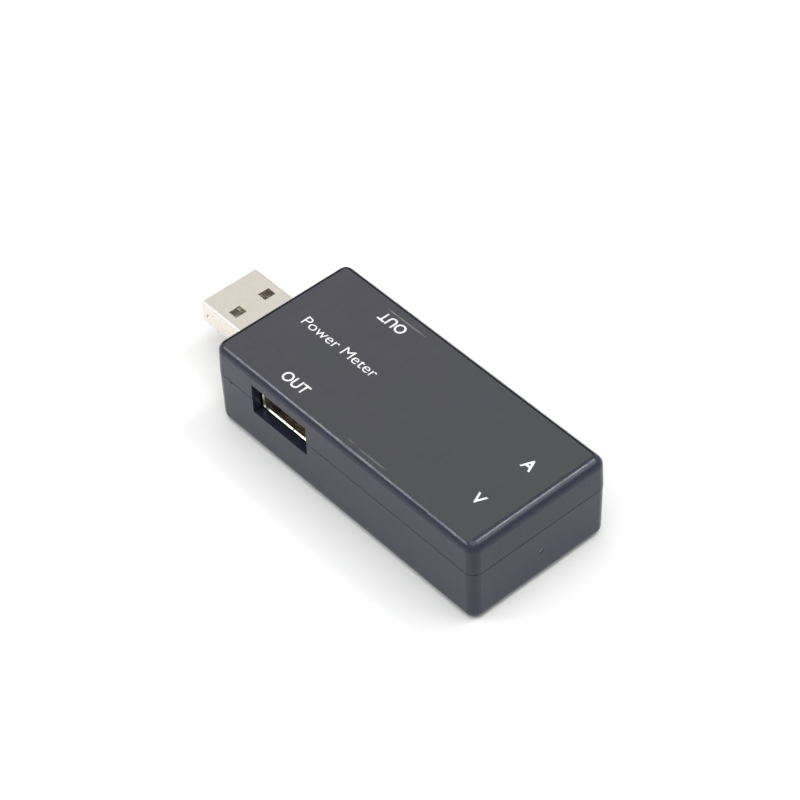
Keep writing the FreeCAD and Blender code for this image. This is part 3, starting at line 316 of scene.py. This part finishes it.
def solder():
    """Frozen solder: smooth, with faint ripples and a grey bloom of flux."""
    s = Surface("solder", Metallic=1.0)
    bloom = s.noise(0.35 * MM, 5.0)
    s.colour(s.mix(bloom, (0.52, 0.52, 0.50), (0.74, 0.74, 0.72)))
    s.roughness(s.spread(bloom, 0.3, 0.7, 0.22, 0.48))
    s.relief(s.bump(s.noise(0.12 * MM, 2.0), 0.003 * MM))
    return s.material


def chip_black():
    """Epoxy moulding compound: charcoal, matt and finely pitted."""
    s = Surface("chip_black", IOR=1.5)
    s.colour(s.mix(s.noise(0.5 * MM, 5.0), (0.018, 0.018, 0.019), (0.042, 0.042, 0.043)))
    s.roughness(s.spread(s.noise(0.3 * MM, 3.0), 0.3, 0.7, 0.5, 0.7))
    s.relief(s.bump(s.cells(0.05 * MM), 0.003 * MM))
    return s.material


def capacitor_body():
    """Sintered tan ceramic with a slightly mottled, waxy face."""
    s = Surface("capacitor_body", IOR=1.5)
    s.colour(s.mix(s.noise(0.4 * MM, 5.0), (0.30, 0.185, 0.095), (0.44, 0.30, 0.17)))
    s.roughness(s.spread(s.noise(0.2 * MM, 3.0), 0.3, 0.7, 0.36, 0.55))
    s.relief(s.bump(s.noise(0.05 * MM, 3.0), 0.002 * MM))
    return s.material


def display_grey():
    """The display housing: light grey filled plastic with a flat printed face."""
    s = Surface("display_grey", IOR=1.5)
    s.colour(s.mix(s.noise(1.5 * MM, 4.0), (0.17, 0.17, 0.175), (0.23, 0.23, 0.235)))
    s.roughness(s.spread(s.noise(0.5 * MM, 3.0), 0.3, 0.7, 0.45, 0.6))
    s.relief(s.bump(s.noise(0.08 * MM, 3.0), 0.002 * MM))
    return s.material


def display_segment():
    """Milky cast resin in the digits' light pipes, unlit, with a faint red cast."""
    s = Surface("display_segment", IOR=1.52, Subsurface_Weight=0.2)
    s.shader.inputs["Subsurface Radius"].default_value = (0.6 * MM, 0.3 * MM, 0.25 * MM)
    s.colour(s.mix(s.noise(0.6 * MM, 4.0), (0.55, 0.48, 0.45), (0.68, 0.61, 0.57)))
    s.roughness(s.spread(s.noise(0.3 * MM, 3.0), 0.3, 0.7, 0.22, 0.38))
    s.relief(s.bump(s.noise(0.15 * MM, 2.0), 0.001 * MM))
    return s.material


def adhesive():
    """Clear acrylic tape: milky grey at its cut edge, with trapped air."""
    s = Surface("adhesive", IOR=1.47)
    bubbles = s.spread(s.cells(0.5 * MM), 0.05, 0.2, 1.0, 0.0)
    s.colour(s.mix(bubbles, (0.05, 0.05, 0.052), (0.12, 0.12, 0.125)))
    s.roughness(s.spread(s.noise(0.4 * MM, 3.0), 0.3, 0.7, 0.3, 0.5))
    s.relief(s.bump(bubbles, 0.01 * MM))
    return s.material


def studio_floor():
    """A white sweep, evenly lit, with a trace of paper tooth."""
    s = Surface("studio_floor")
    s.colour(s.mix(s.noise(60 * MM, 2.0), (0.73, 0.73, 0.73), (0.75, 0.75, 0.75)))
    s.roughness(s.spread(s.noise(5 * MM, 3.0), 0.3, 0.7, 0.75, 0.85))
    s.relief(s.bump(s.noise(0.8 * MM, 3.0), 0.01 * MM))
    return s.material


# --- pieces ------------------------------------------------------------------------------------------

# Each finish: the record's slot, the material, the radius of a broken edge in mm, and the nodes that have it.
FINISHES = [
    ("case_plastic", case_plastic, 0.07, ["top_cover", "bottom_case"]),
    ("adhesive", adhesive, 0.0, ["film_adhesive"]),
    ("board", board, 0.03, ["circuit_board"]),
    ("nickel_shell", nickel_shell, 0.05, [
        "plug_shell", "right_socket_shell", "left_socket_shell",
        "right_socket_upper_springs", "right_socket_lower_springs",
        "left_socket_upper_springs", "left_socket_lower_springs"]),
    ("black_insulator", black_insulator, 0.06, ["right_socket_insulator", "left_socket_insulator"]),
    ("pale_insulator", pale_insulator, 0.06, ["plug_insulator"]),
    ("gold_contact", gold_contact, 0.03, [
        "right_socket_contacts", "left_socket_contacts", "right_socket_tails", "left_socket_tails"]),
    ("gold_contact", worn_contact, 0.03, ["plug_contacts"]),
    ("display_grey", display_grey, 0.08, ["volts_display_body", "amps_display_body"]),
    ("display_segment", display_segment, 0.03, ["volts_display_segments", "amps_display_segments"]),
    ("tinned_metal", tinned_metal, 0.03, [
        "volts_display_pins", "amps_display_pins", "meter_chip_leads", "regulator_leads", "chip_end_caps"]),
    ("chip_black", chip_black, 0.04, [
        "meter_chip", "voltage_regulator", "current_shunts", "chip_resistors"]),
    ("capacitor_body", capacitor_body, 0.04, ["tank_capacitor", "chip_capacitors"]),
    ("solder", solder, 0.0, ["solder_joints"]),
]
SAME_PLACE = 0.0005 * MM       # closer points are one point
FLAT_ANGLE = math.radians(0.4)  # faces that turn less than this are one face
SHARP_ANGLE = math.radians(32)  # edges that turn more than this stay edges


def add_piece(name, mesh, material, slot, body, *nodes):
    """Links a finished mesh as a piece that rides on a body and stands for some nodes."""
    piece = bpy.data.objects.new(name, mesh)
    bpy.context.scene.collection.objects.link(piece)
    mesh.materials.clear()
    mesh.materials.append(material)
    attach(piece, body)
    if nodes:
        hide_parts(*nodes)
    return piece


def even_normals(piece):
    """Shades rounds as rounds and flats as flats."""
    weighted = piece.modifiers.new("even_normals", "WEIGHTED_NORMAL")
    weighted.keep_sharp = True
    weighted.weight = 100


def break_edges(piece, radius):
    """Rounds every sharp edge by a small radius, as tooling and plating leave it."""
    bevel = piece.modifiers.new("broken_edges", "BEVEL")
    bevel.limit_method = "ANGLE"
    bevel.angle_limit = SHARP_ANGLE
    bevel.width = radius
    bevel.segments = 2
    bevel.use_clamp_overlap = True
    bevel.miter_outer = "MITER_ARC"


def smooth_mesh(node):
    """A clean copy of a node's mesh: whole flat faces, smooth rounds and marked sharp edges."""
    made = bmesh.new()
    made.from_mesh(frame["nodes"][node].data)
    bmesh.ops.remove_doubles(made, verts=made.verts, dist=SAME_PLACE)
    bmesh.ops.dissolve_limit(
        made, angle_limit=FLAT_ANGLE, use_dissolve_boundaries=False, verts=made.verts, edges=made.edges)
    # A large face that bends round an opening would close over it when its edges are rounded.
    bmesh.ops.triangulate(made, faces=[face for face in made.faces if len(face.verts) > 4])
    for face in made.faces:
        face.smooth = True
    for edge in made.edges:
        edge.smooth = len(edge.link_faces) == 2 and edge.calc_face_angle(0.0) < SHARP_ANGLE
    mesh = bpy.data.meshes.new(node + "_looks")
    made.to_mesh(mesh)
    made.free()
    return mesh


def refine(node, material, slot, radius):
    """Replaces a node by its clean copy with broken edges."""
    piece = add_piece(node + "_skin", smooth_mesh(node), material, slot, BODY_OF[node], node)
    if radius:
        break_edges(piece, radius * MM)
    even_normals(piece)


# --- the overlay film --------------------------------------------------------------------------------

FILM_CORNER = 0.7 * MM
FILM_STEP = 0.6 * MM            # spacing of the film's grid away from its ridges
FILM_SINK = 0.035 * MM          # how far its face lies below its highest point
FILM_ROLL = 0.1 * MM            # width of the edge that the die rolled over
FILM_ROLL_DROP = 0.05 * MM      # how far that edge turns down
ROLL_LINES = (0.25, 0.5, 1.0, 1.4)  # places of grid lines by an edge, as shares of the roll
SWELL_SPAN = 11 * MM            # the film isn't quite flat: the width and the height of its swells
SWELL_HEIGHT = 0.004 * MM
RIDGE_WIDTH = 0.2 * MM
RIDGE_HEIGHT = 0.03 * MM
RIDGE_FADE = 0.8 * MM           # length over which a ridge's end dies away
RIDGE_LINES = 5                 # grid lines on each side of a ridge
RIDGE_STEP = RIDGE_WIDTH * 0.22
CLOSEST_LINES = 0.02 * MM
PAINTED_STREAK_REACH = RIDGE_WIDTH * 0.7    # half the width of the pale highlight streak painted along a ridge
PAINTED_STREAK_FADE = 1.5 * MM
CASE_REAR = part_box("top_cover")[0].x  # the case's rear face, where the printing and ridges are measured from

# Raised lines in the film: the axis each follows, its place across that axis, where it starts and ends, all in
# mm from the case's rear face and its middle, and its strength as a share of the strongest, which sets its
# height and, for lines along X, the brightness of the highlight painted along it.
FILM_RIDGES = [
    ("x", 11.65, 13.2, 22.9, 1.0),
    ("x", -12.3, 30.7, 33.2, 0.6),
    ("x", -12.45, 33.4, 40.3, 0.75),
    ("y", 24.4, -12.4, 9.4, 0.3),
]


def ridge_height(painted_reflection_share, across, place, start, end):
    """Height of one ridge at a point, from 0 to 1."""
    inside = min(painted_reflection_share - start, end - painted_reflection_share)
    length_share = min(1.0, max(0.0, inside / RIDGE_FADE + 0.5))
    return length_share * math.exp(-((across - place) / (RIDGE_WIDTH / 2)) ** 2)


def film_height(x, y):
    """Height of the film's face above its flat level, at a point of the frame."""
    case_x = x - CASE_REAR
    height = 0.0
    for axis, place, start, end, strength in FILM_RIDGES:
        painted_reflection_share, across = (case_x, y) if axis == "x" else (y, case_x)
        height += strength * RIDGE_HEIGHT * ridge_height(painted_reflection_share, across, place * MM, start * MM, end * MM)
    swell = noise.noise(Vector((x, y, 0.0)) / SWELL_SPAN) * SWELL_HEIGHT
    return min(height + swell, FILM_SINK)


def grid_lines(low, high, step, ridges):
    """Places of grid lines from low to high: even steps, the rolled edges, and close lines over each ridge."""
    count = round((high - low) / step)
    places = {round(low + (high - low) * i / count, 7) for i in range(count + 1)}
    for share in ROLL_LINES:
        places |= {round(low + FILM_ROLL * share, 7), round(high - FILM_ROLL * share, 7)}
    for ridge in ridges:
        for line in range(-RIDGE_LINES, RIDGE_LINES + 1):
            places.add(round(ridge + line * RIDGE_STEP, 7))
    ordered = sorted(places)
    kept = [ordered[0]]
    for place in ordered[1:]:
        if place - kept[-1] > CLOSEST_LINES:
            kept.append(place)
    return kept


def into_outline(x, y, low, high):
    """Moves a point of the corner squares in, so that the outline is round there, and gives its inset too."""
    middle = (low + high) / 2
    half_x = (high.x - low.x) / 2
    half_y = (high.y - low.y) / 2
    dx = x - middle.x
    dy = y - middle.y
    inner_x = half_x - FILM_CORNER
    inner_y = half_y - FILM_CORNER
    past_x = abs(dx) - inner_x
    past_y = abs(dy) - inner_y
    if past_x <= 0 or past_y <= 0:
        return x, y, min(half_x - abs(dx), half_y - abs(dy))
    longest = max(past_x, past_y)
    reach = math.hypot(past_x, past_y)
    shrink = longest / reach
    new_x = middle.x + math.copysign(inner_x + past_x * shrink, dx)
    new_y = middle.y + math.copysign(inner_y + past_y * shrink, dy)
    return new_x, new_y, FILM_CORNER - longest


def close_sheet(made, face, back):
    """Joins two grids of points into a closed sheet: its face, its back and the rim between them."""
    last_x = len(face) - 1
    last_y = len(face[0]) - 1
    for i in range(last_x):
        for j in range(last_y):
            made.faces.new((face[i][j], face[i + 1][j], face[i + 1][j + 1], face[i][j + 1]))
            made.faces.new((back[i][j + 1], back[i + 1][j + 1], back[i + 1][j], back[i][j]))
    rim = [(i, 0) for i in range(last_x)] + [(last_x, j) for j in range(last_y)]
    rim += [(i, last_y) for i in range(last_x, 0, -1)] + [(0, j) for j in range(last_y, 0, -1)]
    for (i, j), (k, m) in zip(rim, rim[1:] + rim[:1]):
        made.faces.new((face[k][m], face[i][j], back[i][j], back[k][m]))


def make_film(material, slot):
    """The overlay: a thin sheet with rounded corners, a rolled edge and shallow ridges in its face."""
    low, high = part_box("front_film")
    across_ridges = [place * MM for axis, place, *_ in FILM_RIDGES if axis == "x"]
    along_ridges = [CASE_REAR + place * MM for axis, place, *_ in FILM_RIDGES if axis == "y"]
    xs = grid_lines(low.x, high.x, FILM_STEP, along_ridges)
    ys = grid_lines(low.y, high.y, FILM_STEP, across_ridges)

    made = bmesh.new()
    face_level = high.z - FILM_SINK
    face = []
    back = []
    for x in xs:
        face_row = []
        back_row = []
        for y in ys:
            px, py, inset = into_outline(x, y, low, high)
            roll = max(0.0, 1.0 - inset / FILM_ROLL) ** 2
            z = face_level + film_height(px, py) * (1.0 - roll) - roll * FILM_ROLL_DROP
            face_row.append(made.verts.new((px, py, z)))
            back_row.append(made.verts.new((px, py, low.z)))
        face.append(face_row)
        back.append(back_row)
    close_sheet(made, face, back)
    for made_face in made.faces:
        made_face.smooth = True
    for edge in made.edges:
        edge.smooth = edge.calc_face_angle(0.0) < SHARP_ANGLE
    mesh = bpy.data.meshes.new("front_film_looks")
    made.to_mesh(mesh)
    made.free()
    piece = add_piece("front_film_skin", mesh, material, slot, CASE_BODY, "front_film")
    even_normals(piece)


# --- printing ----------------------------------------------------------------------------------------

INK_THICKNESS = 0.02 * MM
# Each legend: its name, its words, where their middle is in mm from the case's rear face and centre line, their
# length in mm, the height of the capitals in mm, how far they are turned in degrees, and how much bolder the
# strokes are than the plain font's, as a share of the font's size.
LEGENDS = [
    ("title_print", "Power Meter", (14.76, 0.17), 17.6, 2.0, 0.0, -0.006),
    ("right_out_print", "OUT", (16.05, -10.3), 5.7, 2.1, 0.0, 0.014),
    ("left_out_print", "OUT", (16.51, 9.92), 5.7, 2.1, 180.0, 0.014),
    ("volts_print", "V", (54.36, -6.03), 2.0, 2.2, 0.0, 0.018),
    ("amps_print", "A", (54.56, 4.47), 2.2, 2.3, 0.0, 0.018),
]


def letter_shape(name, words, boldness):
    """The words as a flat mesh, in the font's own units."""
    curve = bpy.data.curves.new(name, "FONT")
    curve.body = words
    curve.size = 1.0
    curve.offset = boldness
    curve.resolution_u = 8
    text = bpy.data.objects.new(name, curve)
    bpy.context.scene.collection.objects.link(text)
    bpy.context.view_layer.update()
    shape = bpy.data.meshes.new_from_object(text.evaluated_get(bpy.context.evaluated_depsgraph_get()))
    bpy.data.objects.remove(text)
    return shape


def print_legend(name, words, middle, length, capitals, turn, boldness, material):
    """Prints words on the film, fitted to a length and a height."""
    shape = letter_shape(name, words, boldness)
    low = Vector([min(v.co[i] for v in shape.vertices) for i in range(3)])
    high = Vector([max(v.co[i] for v in shape.vertices) for i in range(3)])
    scale_x = length * MM / (high.x - low.x)
    scale_y = capitals * MM / (high.y - low.y)
    film_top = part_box("front_film")[1].z - FILM_SINK
    place = Matrix.Translation((CASE_REAR + middle[0] * MM, middle[1] * MM, film_top))
    shape.transform(
        place @ Matrix.Rotation(math.radians(turn), 4, "Z")
        @ Matrix.Diagonal((scale_x, scale_y, 1.0, 1.0))
        @ Matrix.Translation((-(low.x + high.x) / 2, -(low.y + high.y) / 2, 0.0)))

    made = bmesh.new()
    made.from_mesh(shape)
    bmesh.ops.remove_doubles(made, verts=made.verts, dist=SAME_PLACE)
    printed = bmesh.ops.extrude_face_region(made, geom=made.faces[:])
    raised = [item for item in printed["geom"] if isinstance(item, bmesh.types.BMVert)]
    bmesh.ops.translate(made, verts=raised, vec=(0.0, 0.0, INK_THICKNESS))
    bmesh.ops.recalc_face_normals(made, faces=made.faces)
    made.to_mesh(shape)
    made.free()
    add_piece(name, shape, material, "smoked_film", CASE_BODY)


# --- studio ------------------------------------------------------------------------------------------

FLOOR_SIZE = 6.0
FLOOR_GAP = 0.02 * MM   # between the floor and the object's lowest point
CAMERA_PLACE = Vector((250.685, -204.384, 340.195)) * MM
CAMERA_HEADING = math.radians(140.19)   # the way the camera looks, from +X towards +Y
CAMERA_PITCH = math.radians(-45.50)
CAMERA_ROLL = math.radians(-2.466)
SENSOR = 36.0           # in mm, as the lens
LENS = 129.30975

SOFTBOX_DISTANCE = 1.2
# Each softbox: its name, the azimuth from +X towards +Y and the elevation it stands at, half the angles that it
# fills sideways and upright, all in degrees, and its radiance.
SOFTBOXES = [
    ("overhead_softbox", 300.0, 80.0, 24.0, 24.0, 1.9),
    ("left_softbox", 230.0, 34.0, 7.0, 5.0, 10.5),
    ("right_softbox", 72.0, 61.0, 4.5, 4.5, 15.0),
    ("right_fill", 46.0, 52.0, 13.0, 12.0, 2.3),
]
# The surround is dim up to one elevation and bright from another, both in degrees.
SURROUND_LOW = (15.0, 0.68)
SURROUND_HIGH = (42.0, 0.84)


def make_floor():
    low, high = CAD_BOX
    bpy.ops.mesh.primitive_grid_add(
        x_subdivisions=4, y_subdivisions=4, size=FLOOR_SIZE,
        location=((low.x + high.x) / 2, (low.y + high.y) / 2, low.z - FLOOR_GAP))
    floor = bpy.context.object
    floor.name = "studio_floor"
    floor.data.materials.append(studio_floor())


def make_world():
    """A white tent that is darker towards the horizon."""
    world = bpy.data.worlds.new("surround")
    world.use_nodes = True
    tree = world.node_tree
    place = tree.nodes.new("ShaderNodeTexCoord")
    split = tree.nodes.new("ShaderNodeSeparateXYZ")
    rise = tree.nodes.new("ShaderNodeMapRange")
    rise.interpolation_type = "SMOOTHSTEP"
    for (elevation, strength), end in ((SURROUND_LOW, "Min"), (SURROUND_HIGH, "Max")):
        rise.inputs["From " + end].default_value = math.sin(math.radians(elevation))
        rise.inputs["To " + end].default_value = strength
    background = tree.nodes["Background"]
    background.inputs["Color"].default_value = WHITE
    tree.links.new(place.outputs["Generated"], split.inputs["Vector"])
    tree.links.new(split.outputs["Z"], rise.inputs["Value"])
    tree.links.new(rise.outputs["Result"], background.inputs["Strength"])
    bpy.context.scene.world = world


def make_softbox(name, azimuth, elevation, half_width, half_height, radiance):
    """A softbox that faces the object from a direction."""
    middle = (CAD_BOX[0] + CAD_BOX[1]) / 2
    turn = math.radians(azimuth)
    rise = math.radians(elevation)
    towards = Vector((math.cos(turn) * math.cos(rise), math.sin(turn) * math.cos(rise), math.sin(rise)))
    lamp = bpy.data.lights.new(name, "AREA")
    lamp.shape = "RECTANGLE"
    lamp.size = 2 * SOFTBOX_DISTANCE * math.tan(math.radians(half_width))
    lamp.size_y = 2 * SOFTBOX_DISTANCE * math.tan(math.radians(half_height))
    lamp.energy = 4 * radiance * lamp.size * lamp.size_y
    softbox = bpy.data.objects.new(name, lamp)
    softbox.location = middle + towards * SOFTBOX_DISTANCE
    softbox.rotation_mode = "QUATERNION"
    softbox.rotation_quaternion = towards.to_track_quat("Z", "Y")
    bpy.context.scene.collection.objects.link(softbox)


def make_camera():
    data = bpy.data.cameras.new("camera")
    data.sensor_width = SENSOR
    data.lens = LENS
    data.clip_start = 0.01
    data.clip_end = 20.0
    camera = bpy.data.objects.new("camera", data)
    forward = Vector((
        math.cos(CAMERA_PITCH) * math.cos(CAMERA_HEADING),
        math.cos(CAMERA_PITCH) * math.sin(CAMERA_HEADING),
        math.sin(CAMERA_PITCH)))
    level_right = forward.cross(Vector((0.0, 0.0, 1.0))).normalized()
    level_up = level_right.cross(forward)
    right = math.cos(CAMERA_ROLL) * level_right + math.sin(CAMERA_ROLL) * level_up
    up = math.cos(CAMERA_ROLL) * level_up - math.sin(CAMERA_ROLL) * level_right
    turned = Matrix((right, up, -forward)).transposed().to_4x4()
    camera.matrix_world = Matrix.Translation(CAMERA_PLACE) @ turned
    bpy.context.scene.collection.objects.link(camera)
    bpy.context.scene.camera = camera


for slot, make_material, radius, nodes in FINISHES:
    material = make_material()
    for node in nodes:
        refine(node, material, slot, radius)
make_film(smoked_film(), "smoked_film")
ink = white_ink()
for legend in LEGENDS:
    print_legend(*legend, ink)

make_floor()
make_world()
for softbox in SOFTBOXES:
    make_softbox(*softbox)
make_camera()
bpy.context.scene.view_settings.view_transform = "Standard"
